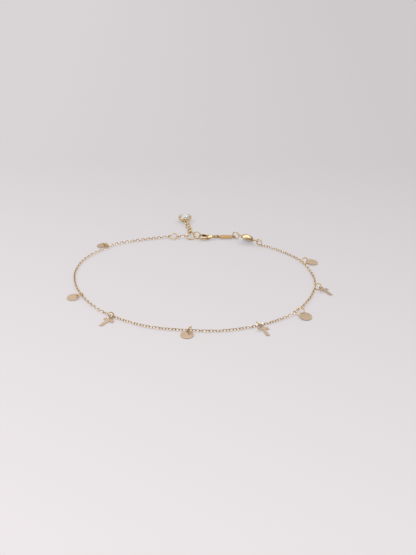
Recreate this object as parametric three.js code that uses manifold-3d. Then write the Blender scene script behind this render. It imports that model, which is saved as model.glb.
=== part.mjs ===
// A fine yellow-gold charm anklet, fastened and lying in its loop on a flat surface.
// Millimetres, +Z up, the surface at z = 0, the origin under the middle of the whole anklet.
import * as THREE from "three";
import { mergeVertices } from "three/addons/utils/BufferGeometryUtils.js";
import Module from "manifold-3d";

const wasm = await Module();
wasm.setup();

// ---- Driving dimensions ----

const GAP = 0.1; // left between pieces that hang in one another

const CHAIN_RADIUS = 0.5; // half the width of the cable chain's links
const CHAIN_SIDES = 8;
const CHAIN_STEPS = 80;

const EXTENDER_RADIUS = 0.6;
const EXTENDER_STEPS = 8;
const SPACER_STEPS = 3;

const WIRE_SIDES = 6;
const RING_SEGMENTS = 16;

const PLATE_THICKNESS = 0.25; // the discs and crosses are stamped from one sheet
const DISC_RADIUS = 2.1;
const CHARM_HOLE_RADIUS = 0.5;
const DISC_HOLE_OFFSET = 1.35; // from the disc's centre
const CHARM_CURVE = 11; // divisions of half a circle in a charm
const CROSS_WIDTH = 3.7;
const CROSS_BAR = 1.1;
const CROSS_EYE_RADIUS = 0.75;
const CROSS_ARM_BELOW_EYE = 1.25;
const CROSS_FOOT_BELOW_EYE = 5.3;

const JUMP_RING_RADIUS = 1.07;
const JUMP_RING_WIRE = 0.18;
const WIDE_RING_RADIUS = 1.15;
const WIDEST_RING_RADIUS = 1.4;

// The chain's centre line, from the end ring round the front of the loop to the bezel ring.
const CHAIN_ROUTE = [
  [-11.0, 27.6, 0.8],
  [-13.2, 27.5, 0.6],
  [-20.1, 25.8, 0.5],
  [-27.1, 23.5, 0.5],
  [-31.3, 21.4, 0.5],
  [-33.8, 18.9, 0.5],
  [-37.5, 14.8, 0.5],
  [-40.2, 11.1, 0.5],
  [-41.9, 7.2, 0.5],
  [-42.9, 3.1, 0.5],
  [-43.4, -1.0, 0.5],
  [-43.2, -5.2, 0.5],
  [-42.6, -9.1, 0.5],
  [-41.6, -12.9, 0.5],
  [-39.9, -17.2, 0.5],
  [-37.7, -21.4, 0.5],
  [-35.6, -24.7, 0.5],
  [-32.2, -28.9, 0.5],
  [-27.9, -32.8, 0.5],
  [-23.5, -35.7, 0.5],
  [-18.9, -38.3, 0.5],
  [-13.7, -40.15, 0.5],
  [-8.1, -41.2, 0.5],
  [-4.0, -41.7, 0.5],
  [2.9, -42.2, 0.5],
  [8.5, -41.8, 0.5],
  [14.0, -40.4, 0.5],
  [19.9, -38.1, 0.5],
  [24.3, -35.6, 0.5],
  [28.7, -32.4, 0.6],
  [32.0, -29.1, 1.0],
  [34.3, -24.7, 0.6],
  [36.6, -19.7, 0.5],
  [38.5, -13.4, 0.5],
  [39.0, -8.2, 0.5],
  [38.6, -3.0, 0.5],
  [36.6, 4.9, 0.5],
  [33.6, 10.5, 0.5],
  [28.9, 15.6, 0.5],
  [24.0, 19.6, 0.5],
  [21.75, 20.65, 0.5],
];

// Where each charm hangs. Its jump ring passes through the chain this far along it, and through
// the charm's hole, which is this far apart from the chain along a compass heading (degrees from
// +X), and this high. The ring leans over by an angle. The charm points along its own heading.
const CHARMS = [
  { name: "disc_1", along: 24.7, ring: 137, apart: 1.33, high: 0.5, lean: 40, charm: 147 },
  { name: "disc_2", along: 65.6, ring: -153, apart: 1.7, high: 0.5, lean: 43, charm: -160 },
  { name: "cross_1", along: 84.7, ring: -124, apart: 1.31, high: 0.5, lean: -40, charm: -128 },
  { name: "disc_3", along: 110.4, ring: -94, apart: 1.33, high: 0.5, lean: 42, charm: -90 },
  { name: "cross_2", along: 133.8, ring: -66, apart: 1.31, high: 0.7, lean: -42, charm: -70 },
  { name: "disc_4", along: 148.5, ring: -42, apart: 2.6, high: 0.75, lean: 48, charm: -45 },
  { name: "cross_3", along: 167.5, ring: -12, apart: 2.1, high: 0.7, lean: 54, charm: -54 },
  { name: "disc_5", along: 186.8, ring: 23, apart: 1.95, high: 0.6, lean: 50, charm: 0 },
];
const RING_RADII = { disc_4: WIDEST_RING_RADIUS, cross_3: WIDE_RING_RADIUS, disc_5: WIDE_RING_RADIUS };
const CHARM_ROLLS = { cross_2: -10, cross_3: -12 }; // degrees about the stem, an arm raised

// The rings of the fastening. Each lies along a compass heading, tilted up from the surface about
// that heading: at 0 it lies flat and at 90 it stands.
const RINGS = {
  end_ring: { radius: 1.62, wire: 0.2, centre: [-9.9, 27.6, 0.8], along: 0, tilt: 10 },
  catch_ring: { radius: 1.57, wire: 0.26, centre: [-3.7, 27.5, 1.05], along: 0, tilt: 28 },
  hook_ring: { radius: 1.32, wire: 0.18, centre: [-1.47, 27.05, 1.51], along: -11, tilt: 90 },
  tail_ring: { radius: 0.85, wire: 0.17, centre: [5.58, 27.07, 0.95], along: 19.6, tilt: -57 },
  tag_ring: { radius: 1.27, wire: 0.18, centre: [12.9, 27.06, 1.47], along: -28.2, tilt: 90 },
  bezel_ring: { radius: 1.07, wire: 0.18, centre: [21.2, 21.03, 1.45], along: -33.8, tilt: 90 },
};

const SPACER_ROUTE = [
  [-8.8, 27.6, 0.8],
  [-8.1, 27.6, 0.8],
  [-5.6, 27.5, 1.0],
  [-4.65, 27.5, 1.08],
];

const EXTENDER_ROUTE = [
  [-3.9, 28.35, 1.8],
  [-3.95, 28.9, 1.77],
  [-4.0, 30.6, 1.2],
  [-4.15, 32.4, 0.7],
  [-4.4, 34.6, 0.6],
  [-4.85, 36.9, 0.65],
  [-5.5, 39.4, 1.1],
  [-5.64, 39.95, 1.1],
];

const TAG_CURVE = 6;
const TAG = {
  centre: [9.23, 27.5, 0.65],
  length: 4.3,
  width: 2.4,
  thickness: 0.4,
  earRadius: 0.75,
  holeRadius: 0.47,
  holeToHole: 5.83,
};

const LEVER_CURVE = 4;
const CLASP = {
  centre: [1.74, 26.7, 1.1],
  roll: 16, // degrees, the lever's side raised
  thickness: 1.2,
  edge: 0.18, // rounding of the body's edges
  pivot: [1.65, 0.1],
  slotWidth: 0.64,
  slotEnd: 2.3,
  slotFloor: -0.75,
  pinRadius: 0.22,
  pinLength: 1.24,
  pinHoleRadius: 0.29,
  leverThickness: 0.44,
  tailCentre: [2.95, 0],
  tailRadius: 0.68,
  tailHoleRadius: 0.42,
  tailThickness: 0.5,
};

const BEZEL_SEGMENTS = 24;
const BEZEL_HEIGHT = 1.9;
const EYE_HEIGHT = 1.1; // of the eyes' middle above a bezel's base
// Half sections of the cup and of the stone in it: radius and height.
const CUP_PROFILE = [
  [0, 0],
  [0.9, 0],
  [1.7, 0.25],
  [2.2, 0.7],
  [2.45, 1.3],
  [2.5, BEZEL_HEIGHT - 0.1],
  [2.4, BEZEL_HEIGHT],
  [1.82, BEZEL_HEIGHT],
  [1.82, 1.75],
  [2.05, 1.62],
  [2.05, 1.3],
  [0.8, 0.4],
  [0, 0.4],
];
const STONE_PROFILE = [
  [0, 0.6],
  [1.92, 1.42],
  [1.92, 1.5],
  [1.55, 2.2],
  [1.05, 2.6],
  [0, 2.6],
];
const DROP_BEZEL = { centre: [-6.2, 43.1, 0], heading: -80.4, eyeAt: 3.1, eyeRadius: 0.6, eyeWire: 0.2 };
const LINK_BEZEL = {
  centre: [17.1, 23.95, 1.93],
  heading: -36,
  pitch: 3, // degrees, the end by the tag raised
  roll: 30, // degrees off upside down, the stone turned towards the front
  eyeAt: 4.0,
  eyeRadius: 0.75,
  eyeWire: 0.2,
  neckRadius: 0.28,
};

// ---- Finishes ----

const gold = new THREE.MeshStandardMaterial({ color: 0xcfa873, roughness: 0.28, metalness: 1 });
const satinGold = new THREE.MeshStandardMaterial({ color: 0xc9a981, roughness: 0.5, metalness: 1 });
const stone = new THREE.MeshStandardMaterial({ color: 0xf4f5f8, roughness: 0.05, metalness: 0 });

// ---- Helpers ----

const Z = new THREE.Vector3(0, 0, 1);
const degrees = THREE.MathUtils.degToRad;

function heading(angle) {
  return new THREE.Vector3(Math.cos(degrees(angle)), Math.sin(degrees(angle)), 0);
}

function toSolid(geometry) {
  const bare = geometry.index ? geometry.toNonIndexed() : geometry.clone();
  bare.deleteAttribute("normal");
  bare.deleteAttribute("uv");
  const merged = mergeVertices(bare, 1e-5);
  return new wasm.Manifold(
    new wasm.Mesh({
      numProp: 3,
      vertProperties: new Float32Array(merged.attributes.position.array),
      triVerts: new Uint32Array(merged.index.array),
    }),
  );
}

function toGeometry(solid) {
  const mesh = solid.getMesh();
  const geometry = new THREE.BufferGeometry();
  geometry.setAttribute("position", new THREE.BufferAttribute(mesh.vertProperties, 3));
  geometry.setIndex(new THREE.BufferAttribute(mesh.triVerts, 1));
  return geometry;
}

function named(name, geometry, material) {
  const mesh = new THREE.Mesh(geometry, material);
  mesh.name = name;
  return mesh;
}

function wireRing(radius, wire) {
  return new THREE.TorusGeometry(radius, wire, WIRE_SIDES, RING_SEGMENTS);
}

function slab(shape, thickness, curveSegments) {
  const geometry = new THREE.ExtrudeGeometry(shape, {
    depth: thickness,
    bevelEnabled: false,
    curveSegments,
  });
  return geometry.translate(0, 0, -thickness / 2);
}

// A tube that follows a route, with a channel wherever one of the rings passes through it.
function chainTube(route, radius, steps, rings) {
  const section = new THREE.Shape();
  section.absarc(0, 0, radius, 0, 2 * Math.PI);
  const points = route.map((p) => new THREE.Vector3(...p));
  const path = new THREE.CatmullRomCurve3(points, false, "catmullrom");
  const tube = new THREE.ExtrudeGeometry(section, {
    steps,
    curveSegments: CHAIN_SIDES / 2,
    bevelEnabled: false,
    extrudePath: path,
  });
  let solid = toSolid(tube);
  for (const ring of rings) {
    const channel = wireRing(ring.radius, ring.wire + GAP).applyMatrix4(ring.matrix);
    solid = solid.subtract(toSolid(channel));
  }
  return toGeometry(solid);
}

// ---- Rings ----

// The place of each jump ring of the fastening, as a matrix for a ring made flat at the origin.
function fasteningRing({ radius, wire, centre, along, tilt }) {
  const matrix = new THREE.Matrix4().makeRotationZ(degrees(along));
  matrix.multiply(new THREE.Matrix4().makeRotationX(degrees(tilt)));
  matrix.setPosition(...centre);
  return { radius, wire, matrix };
}

const chainPath = new THREE.CatmullRomCurve3(
  CHAIN_ROUTE.map((p) => new THREE.Vector3(...p)),
  false,
  "catmullrom",
);
chainPath.arcLengthDivisions = 2000;
const chainLength = chainPath.getLength();

// A charm's jump ring is a circle through the chain's centre line and through the charm's hole.
// Its middle is above the two, and leans over along the chain.
function charmRing({ name, along, ring, apart, high, lean }) {
  const radius = RING_RADII[name] ?? JUMP_RING_RADIUS;
  const onChain = chainPath.getPointAt(along / chainLength);
  const hangs = onChain.clone().addScaledVector(heading(ring), apart).setZ(high);
  const out = hangs.clone().sub(onChain);
  const half = out.length() / 2;
  out.normalize();
  const side = heading(ring + 90);
  const upright = out.clone().cross(side).multiplyScalar(Math.cos(degrees(lean)));
  upright.addScaledVector(side, Math.sin(degrees(lean)));
  const centre = onChain.clone().addScaledVector(out, half);
  centre.addScaledVector(upright, Math.sqrt(radius ** 2 - half ** 2));
  const matrix = new THREE.Matrix4().makeBasis(out, upright, out.clone().cross(upright));
  matrix.setPosition(centre);
  return { radius, wire: JUMP_RING_WIRE, matrix, hangs };
}

// ---- Charms, each drawn with the middle of its hole at the origin and its foot along +X ----

function discShape() {
  const shape = new THREE.Shape();
  shape.absarc(DISC_HOLE_OFFSET, 0, DISC_RADIUS, 0, 2 * Math.PI);
  shape.holes.push(holeAt(0, 0, CHARM_HOLE_RADIUS));
  return shape;
}

function holeAt(x, y, radius) {
  const hole = new THREE.Path();
  hole.absarc(x, y, radius, 0, 2 * Math.PI, true);
  return hole;
}

function crossShape() {
  const bar = CROSS_BAR / 2;
  const arm = CROSS_WIDTH / 2;
  const armNear = CROSS_ARM_BELOW_EYE - bar;
  const armFar = CROSS_ARM_BELOW_EYE + bar;
  const eyeTurn = Math.asin(bar / CROSS_EYE_RADIUS);
  const shape = new THREE.Shape();
  shape.absarc(0, 0, CROSS_EYE_RADIUS, eyeTurn, 2 * Math.PI - eyeTurn);
  shape.lineTo(armNear, -bar);
  shape.lineTo(armNear, -arm);
  shape.lineTo(armFar, -arm);
  shape.lineTo(armFar, -bar);
  shape.lineTo(CROSS_FOOT_BELOW_EYE, -bar);
  shape.lineTo(CROSS_FOOT_BELOW_EYE, bar);
  shape.lineTo(armFar, bar);
  shape.lineTo(armFar, arm);
  shape.lineTo(armNear, arm);
  shape.lineTo(armNear, bar);
  shape.closePath();
  shape.holes.push(holeAt(0, 0, CHARM_HOLE_RADIUS));
  return shape;
}

// A charm hangs from its ring with its foot on the surface, rolled over about its own length.
function placeCharm(mesh, reach, footWidth, hangs, charmHeading, roll) {
  const turn = degrees(roll);
  const footHeight = (PLATE_THICKNESS * Math.cos(turn) + footWidth * Math.abs(Math.sin(turn))) / 2;
  const dip = Math.asin((hangs.z - footHeight) / reach);
  const foot = heading(charmHeading).multiplyScalar(Math.cos(dip)).addScaledVector(Z, -Math.sin(dip));
  const side = heading(charmHeading + 90).applyAxisAngle(foot, turn);
  mesh.quaternion.setFromRotationMatrix(new THREE.Matrix4().makeBasis(foot, side, foot.clone().cross(side)));
  mesh.position.copy(hangs);
  return mesh;
}

// ---- Clasp, drawn with its nose along -X and its lever along +Y ----

function points(rows) {
  return rows.map(([x, y]) => new THREE.Vector2(x, y));
}

function claspOutline() {
  const [tailX] = CLASP.tailCentre;
  const outer = [
    [2.0, -1.1],
    [1.0, -1.5],
    [0.0, -1.75],
    [-1.1, -1.68],
    [-2.0, -1.25],
    [-2.6, -0.5],
    [-2.75, 0.2],
    [-2.5, 0.78],
    [-1.95, 1.05],
  ];
  const inner = [
    [-2.22, 0.4],
    [-2.28, 0.0],
    [-1.85, -0.6],
    [-1.1, -0.95],
    [-0.1, -1.0],
    [0.65, -0.8],
    [1.0, -0.3],
  ];
  const shape = new THREE.Shape();
  shape.moveTo(1.0, 0.8);
  shape.lineTo(2.0, 0.9);
  shape.lineTo(tailX, CLASP.tailRadius);
  shape.absarc(tailX, 0, CLASP.tailRadius, Math.PI / 2, -Math.PI / 2, true);
  shape.splineThru(points(outer));
  shape.lineTo(-1.9, 0.5);
  shape.splineThru(points(inner));
  shape.closePath();
  return shape;
}

function block(x0, x1, y0, y1, z0, z1) {
  const geometry = new THREE.BoxGeometry(x1 - x0, y1 - y0, z1 - z0);
  return toSolid(geometry.translate((x0 + x1) / 2, (y0 + y1) / 2, (z0 + z1) / 2));
}

function drill(x, y, radius, length) {
  const geometry = new THREE.CylinderGeometry(radius, radius, length, 16);
  return geometry.rotateX(Math.PI / 2).translate(x, y, 0);
}

// A shape made of the outline's own points, each once, as a bevel needs.
function withoutDoubles(shape, divisions) {
  const points = shape.getPoints(divisions);
  const apart = 0.02;
  const single = points.filter((p, i) => p.distanceTo(points[(i + 1) % points.length]) > apart);
  return new THREE.Shape(single);
}

function claspBody() {
  const half = CLASP.thickness / 2;
  const far = 5; // past the body on every side
  const body = new THREE.ExtrudeGeometry(withoutDoubles(claspOutline(), 2), {
    depth: CLASP.thickness - 2 * CLASP.edge,
    bevelThickness: CLASP.edge,
    bevelSize: CLASP.edge,
    bevelOffset: -CLASP.edge,
    bevelSegments: 1,
  });
  body.translate(0, 0, -half + CLASP.edge);
  const slot = block(0.5, CLASP.slotEnd, CLASP.slotFloor, far, -CLASP.slotWidth / 2, CLASP.slotWidth / 2);
  const tailHalf = CLASP.tailThickness / 2;
  const tailFrom = 2.35;
  return toSolid(body)
    .subtract(slot)
    .subtract(block(tailFrom, far, -far, far, tailHalf, far))
    .subtract(block(tailFrom, far, -far, far, -far, -tailHalf))
    .subtract(toSolid(drill(...CLASP.tailCentre, CLASP.tailHoleRadius, 2 * CLASP.thickness)))
    .subtract(toSolid(drill(...CLASP.pivot, CLASP.pinHoleRadius, 2 * CLASP.thickness)));
}

function leverShape() {
  const [x, y] = CLASP.pivot;
  const boss = 0.5;
  const shape = new THREE.Shape();
  shape.moveTo(-1.68, 0.6);
  shape.splineThru(points([[-0.8, 0.42], [0.5, 0.1], [x, y - boss]]));
  shape.absarc(x, y, boss, -Math.PI / 2, Math.PI / 2, false);
  shape.lineTo(1.45, 1.25);
  shape.lineTo(0.85, 1.4);
  shape.splineThru(points([[0.3, 1.12], [-0.7, 1.12], [-1.68, 1.05]]));
  shape.closePath();
  shape.holes.push(holeAt(x, y, CLASP.pinHoleRadius));
  return shape;
}

function clasp() {
  const group = new THREE.Group();
  group.position.set(...CLASP.centre);
  group.rotation.x = degrees(CLASP.roll);
  group.add(named("clasp_body", toGeometry(claspBody()), gold));
  group.add(named("clasp_lever", slab(leverShape(), CLASP.leverThickness, LEVER_CURVE), gold));
  group.add(named("clasp_pin", drill(...CLASP.pivot, CLASP.pinRadius, CLASP.pinLength), gold));
  return group;
}

// ---- Tag ----

function tagGeometry() {
  const { length, width, thickness, earRadius, holeRadius, holeToHole } = TAG;
  const shape = new THREE.Shape();
  const holeX = holeToHole / 2;
  shape.moveTo(-length / 2, -width / 2);
  shape.lineTo(length / 2, -width / 2);
  shape.lineTo(length / 2, -earRadius);
  shape.absarc(holeX, 0, earRadius, -Math.PI / 2, Math.PI / 2);
  shape.lineTo(length / 2, earRadius);
  shape.lineTo(length / 2, width / 2);
  shape.lineTo(-length / 2, width / 2);
  shape.lineTo(-length / 2, earRadius);
  shape.absarc(-holeX, 0, earRadius, Math.PI / 2, 1.5 * Math.PI);
  shape.lineTo(-length / 2, -earRadius);
  shape.closePath();
  shape.holes.push(holeAt(-holeX, 0, holeRadius));
  shape.holes.push(holeAt(holeX, 0, holeRadius));
  return slab(shape, thickness, TAG_CURVE);
}

// ---- Bezels and stones, drawn with the base at z = 0 and the stone upwards ----

function turned(profile) {
  const points = profile.map(([radius, height]) => new THREE.Vector2(radius, height));
  return new THREE.LatheGeometry(points, BEZEL_SEGMENTS).rotateX(Math.PI / 2);
}

function eye({ eyeAt, eyeRadius, eyeWire }, side, standing) {
  const ring = wireRing(eyeRadius, eyeWire);
  if (standing) {
    ring.rotateX(Math.PI / 2);
  }
  return toSolid(ring.translate(side * eyeAt, 0, EYE_HEIGHT));
}

function neck({ eyeAt, eyeRadius, neckRadius }, side) {
  const from = 2.2; // inside the cup's wall
  const to = eyeAt - eyeRadius;
  const post = new THREE.CylinderGeometry(neckRadius, neckRadius, to - from, 10);
  return toSolid(post.rotateZ(Math.PI / 2).translate((side * (from + to)) / 2, 0, EYE_HEIGHT));
}

function dropBezel() {
  const group = new THREE.Group();
  group.position.set(...DROP_BEZEL.centre);
  group.rotation.z = degrees(DROP_BEZEL.heading);
  const cup = toSolid(turned(CUP_PROFILE)).add(eye(DROP_BEZEL, 1, true));
  group.add(named("drop_bezel", toGeometry(cup), gold));
  group.add(named("drop_stone", turned(STONE_PROFILE), stone));
  return group;
}

function linkBezel() {
  const group = new THREE.Group();
  group.position.set(...LINK_BEZEL.centre);
  const { heading: turn, pitch, roll } = LINK_BEZEL;
  group.rotation.set(Math.PI - degrees(roll), degrees(pitch), degrees(turn), "ZYX");
  const hung = new THREE.Group();
  hung.position.z = -EYE_HEIGHT;
  let cup = toSolid(turned(CUP_PROFILE));
  for (const side of [-1, 1]) {
    cup = cup.add(eye(LINK_BEZEL, side, false)).add(neck(LINK_BEZEL, side));
  }
  hung.add(named("link_bezel", toGeometry(cup), gold));
  hung.add(named("link_stone", turned(STONE_PROFILE), stone));
  group.add(hung);
  return group;
}

// ---- The anklet ----

const anklet = new THREE.Group();

const rings = {};
for (const [name, ring] of Object.entries(RINGS)) {
  rings[name] = fasteningRing(ring);
}
for (const charm of CHARMS) {
  rings[`${charm.name}_ring`] = charmRing(charm);
}
for (const [name, { radius, wire, matrix }] of Object.entries(rings)) {
  const mesh = named(name, wireRing(radius, wire), gold);
  mesh.applyMatrix4(matrix);
  anklet.add(mesh);
}

const shapes = {
  disc: { outline: discShape(), reach: DISC_HOLE_OFFSET + DISC_RADIUS, footWidth: 0 },
  cross: { outline: crossShape(), reach: CROSS_FOOT_BELOW_EYE, footWidth: CROSS_BAR },
};
for (const charm of CHARMS) {
  const { outline, reach, footWidth } = shapes[charm.name.split("_")[0]];
  const mesh = named(charm.name, slab(outline, PLATE_THICKNESS, CHARM_CURVE), satinGold);
  const { hangs } = rings[`${charm.name}_ring`];
  anklet.add(placeCharm(mesh, reach, footWidth, hangs, charm.charm, CHARM_ROLLS[charm.name] ?? 0));
}

const charmRings = CHARMS.map((charm) => rings[`${charm.name}_ring`]);
const throughChain = [rings.end_ring, rings.bezel_ring, ...charmRings];
anklet.add(named("chain", chainTube(CHAIN_ROUTE, CHAIN_RADIUS, CHAIN_STEPS, throughChain), gold));

const throughSpacer = [rings.end_ring, rings.catch_ring];
anklet.add(named("spacer_chain", chainTube(SPACER_ROUTE, CHAIN_RADIUS, SPACER_STEPS, throughSpacer), gold));

function dropEye() {
  const matrix = new THREE.Matrix4().makeRotationZ(degrees(DROP_BEZEL.heading));
  matrix.multiply(new THREE.Matrix4().makeTranslation(DROP_BEZEL.eyeAt, 0, EYE_HEIGHT));
  matrix.multiply(new THREE.Matrix4().makeRotationX(Math.PI / 2));
  matrix.premultiply(new THREE.Matrix4().makeTranslation(...DROP_BEZEL.centre));
  return { radius: DROP_BEZEL.eyeRadius, wire: DROP_BEZEL.eyeWire, matrix };
}

const throughExtender = [rings.catch_ring, dropEye()];
anklet.add(
  named("extender_chain", chainTube(EXTENDER_ROUTE, EXTENDER_RADIUS, EXTENDER_STEPS, throughExtender), gold),
);

anklet.add(clasp());

const tag = named("tag", tagGeometry(), satinGold);
tag.position.set(...TAG.centre);
anklet.add(tag);

anklet.add(dropBezel());
anklet.add(linkBezel());

export default anklet;
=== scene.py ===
# %% [markdown]
# # A fine gold charm anklet, lying in its loop
# The real thing is a cable chain of tiny oval links, with five flat discs and three crosses on
# jump rings, a lobster clasp, a bare tag and two bezel-set stones. The CAD frame holds every
# piece at its true place. This lesson makes the fine surface of each piece round that frame.

# %% The fixed frame
import math
import random

import bpy
import numpy as np
from mathutils import Matrix, Vector


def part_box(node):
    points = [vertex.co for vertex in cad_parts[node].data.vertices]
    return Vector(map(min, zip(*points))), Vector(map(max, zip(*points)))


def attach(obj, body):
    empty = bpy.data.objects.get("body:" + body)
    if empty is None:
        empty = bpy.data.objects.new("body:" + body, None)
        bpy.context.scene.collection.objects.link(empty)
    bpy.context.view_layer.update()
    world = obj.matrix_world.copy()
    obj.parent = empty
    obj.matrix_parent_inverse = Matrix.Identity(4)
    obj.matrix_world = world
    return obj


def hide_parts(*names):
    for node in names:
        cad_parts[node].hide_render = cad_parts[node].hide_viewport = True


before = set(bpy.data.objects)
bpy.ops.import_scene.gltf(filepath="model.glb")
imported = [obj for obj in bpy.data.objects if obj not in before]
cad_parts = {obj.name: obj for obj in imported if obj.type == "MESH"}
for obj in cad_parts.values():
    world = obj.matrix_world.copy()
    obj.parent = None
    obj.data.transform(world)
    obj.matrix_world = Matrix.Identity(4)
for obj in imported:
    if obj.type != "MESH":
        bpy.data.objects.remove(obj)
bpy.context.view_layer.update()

MM = 0.001

# %% [markdown]
# ## The camera
# A long lens from about 0.4 m keeps the small loop nearly free of perspective. Looking down at
# 27 degrees, the round loop shows as a flat oval with its charms spread towards the viewer.

# %% The camera
AIM = Vector((2.6, -4.4, 0)) * MM
CAMERA_DISTANCE = 379.6 * MM
LOOKING_DOWN = math.radians(27)
LENS = 71.55

away = Vector((0, -math.cos(LOOKING_DOWN), math.sin(LOOKING_DOWN)))
bpy.ops.object.camera_add(
    location=AIM + away * CAMERA_DISTANCE,
    rotation=(math.pi / 2 - LOOKING_DOWN, 0, 0),
)
camera = bpy.context.object
camera.data.lens = LENS
camera.data.sensor_width = 36
camera.data.clip_start = 0.01
bpy.context.scene.camera = camera
bpy.context.scene.view_settings.view_transform = "Standard"
print("camera at", [round(v, 4) for v in camera.location])

# %% [markdown]
# ## Working habits
# An operator acts on whatever is selected, so each piece starts with nothing selected. Faces
# and points are then picked by where they are. A finished piece sits at the origin with its
# place in its mesh, which is what the frame asks for.

# %% Selecting and placing
def start_fresh():
    if bpy.context.object and bpy.context.mode != "OBJECT":
        bpy.ops.object.mode_set(mode="OBJECT")
    bpy.ops.object.select_all(action="DESELECT")


def pick(piece, kind, chosen):
    """Goes into edit mode with only those VERTs, EDGEs or FACEs selected whose middle is chosen."""
    bpy.ops.object.mode_set(mode="EDIT")
    bpy.ops.mesh.select_mode(type=kind)
    bpy.ops.mesh.select_all(action="DESELECT")
    bpy.ops.object.mode_set(mode="OBJECT")
    mesh = piece.data
    if kind == "VERT":
        for vertex in mesh.vertices:
            vertex.select = chosen(vertex.co)
    elif kind == "EDGE":
        for edge in mesh.edges:
            first, second = (mesh.vertices[i].co for i in edge.vertices)
            edge.select = chosen((first + second) / 2)
    else:
        for face in mesh.polygons:
            face.select = chosen(face.center)
    bpy.ops.object.mode_set(mode="EDIT")


def settle(piece, name):
    """Ends the work on a piece: its name, its place in its mesh, and its faces pointing out."""
    if bpy.context.mode != "EDIT":
        bpy.ops.object.mode_set(mode="EDIT")
    bpy.ops.mesh.select_all(action="SELECT")
    bpy.ops.mesh.normals_make_consistent(inside=False)
    bpy.ops.object.mode_set(mode="OBJECT")
    bpy.ops.object.transform_apply()
    piece.name = name
    piece.data.name = name
    return piece


def basis(x, y, z, at):
    """The matrix that carries a piece made round the origin to its own axes and place."""
    matrix = Matrix((x, y, z)).transposed().to_4x4()
    matrix.translation = at
    return matrix


def copy_of(model, name, matrix):
    copy = bpy.data.objects.new(name, model.data.copy())
    bpy.context.scene.collection.objects.link(copy)
    copy.data.transform(matrix)
    return copy


def one_piece(pieces, name):
    """Joins several copies into one mesh."""
    start_fresh()
    for piece in pieces:
        piece.select_set(True)
    bpy.context.view_layer.objects.active = pieces[0]
    bpy.ops.object.join()
    joined = bpy.context.object
    joined.name = name
    joined.data.name = name
    return joined


def put_away(model):
    bpy.data.objects.remove(model)


def dress(piece, body, slot, material, *nodes):
    """Hands a finished piece to the frame, in place of its CAD nodes."""
    piece.data.materials.clear()
    piece.data.materials.append(material)
    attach(piece, body)
    if nodes:
        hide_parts(*nodes)
    return piece


# %% [markdown]
# ## Cutting, joining and softening
# A bench jeweller drills, solders and tumbles. Here a boolean drills or solders, and a bevel
# gives the edge that tumbling leaves. Each modifier is applied at once.

# %% Drilling, soldering and tumbling
def apply_modifier(piece, kind, **settings):
    bpy.context.view_layer.objects.active = piece
    modifier = piece.modifiers.new(kind.title(), kind)
    for key, value in settings.items():
        setattr(modifier, key, value)
    bpy.ops.object.modifier_apply(modifier=modifier.name)


def cut_or_join(piece, other, operation):
    start_fresh()
    apply_modifier(piece, "BOOLEAN", object=other, operation=operation, solver="EXACT")
    put_away(other)
    piece.select_set(True)


def rod(radius, length, at, turned=(0, 0, 0), sides=32):
    start_fresh()
    bpy.ops.mesh.primitive_cylinder_add(
        vertices=sides, radius=radius, depth=length, location=at, rotation=turned
    )
    return bpy.context.object


def drill(piece, radius, length, at):
    cut_or_join(piece, rod(radius, length, at), "DIFFERENCE")


def tumble(piece, width, segments=2):
    """Softens every sharp edge and keeps the flat faces flat."""
    apply_modifier(
        piece,
        "BEVEL",
        width=width,
        segments=segments,
        limit_method="ANGLE",
        angle_limit=math.radians(40),
        harden_normals=True,
    )


def smooth(piece, angle=40):
    start_fresh()
    piece.select_set(True)
    bpy.context.view_layer.objects.active = piece
    bpy.ops.object.shade_smooth_by_angle(angle=math.radians(angle))


# %% [markdown]
# ## Finishes
# Polished gold has no colour of its own to paint: it is its reflections, so its base colour is
# the tint of the metal and its detail is in fine handling marks. The stamped charms are satin,
# which spreads the reflection into one even tan. All patterns sit on Object coordinates.

# %% Helpers for finishes
def new_finish(name):
    material = bpy.data.materials.new(name)
    material.use_nodes = True
    nodes = material.node_tree.nodes
    return material, nodes, material.node_tree.links, nodes["Principled BSDF"]


def grain(nodes, links, size, stretch=(1, 1, 1), detail=3.0):
    """Noise whose blotches are about size across, in metres, drawn out along an axis if asked."""
    where = nodes.new("ShaderNodeTexCoord")
    mapping = nodes.new("ShaderNodeMapping")
    mapping.inputs["Scale"].default_value = stretch
    noise = nodes.new("ShaderNodeTexNoise")
    noise.inputs["Scale"].default_value = 1 / size
    noise.inputs["Detail"].default_value = detail
    links.new(where.outputs["Object"], mapping.inputs["Vector"])
    links.new(mapping.outputs["Vector"], noise.inputs["Vector"])
    return noise.outputs["Fac"]


def between(nodes, links, value, low, high):
    """Carries the middle of a noise, 0.3 to 0.7, to a range of its own."""
    span = nodes.new("ShaderNodeMapRange")
    span.inputs["From Min"].default_value = 0.3
    span.inputs["From Max"].default_value = 0.7
    span.inputs["To Min"].default_value = low
    span.inputs["To Max"].default_value = high
    links.new(value, span.inputs["Value"])
    return span.outputs["Result"]


def tint(nodes, links, value, dark, light):
    ramp = nodes.new("ShaderNodeValToRGB")
    ramp.color_ramp.elements[0].position = 0.3
    ramp.color_ramp.elements[0].color = (*dark, 1)
    ramp.color_ramp.elements[1].position = 0.7
    ramp.color_ramp.elements[1].color = (*light, 1)
    links.new(value, ramp.inputs["Fac"])
    return ramp.outputs["Color"]


def marks(nodes, links, value, depth, shader):
    bump = nodes.new("ShaderNodeBump")
    bump.inputs["Distance"].default_value = depth
    links.new(value, bump.inputs["Height"])
    links.new(bump.outputs["Normal"], shader.inputs["Normal"])


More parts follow.
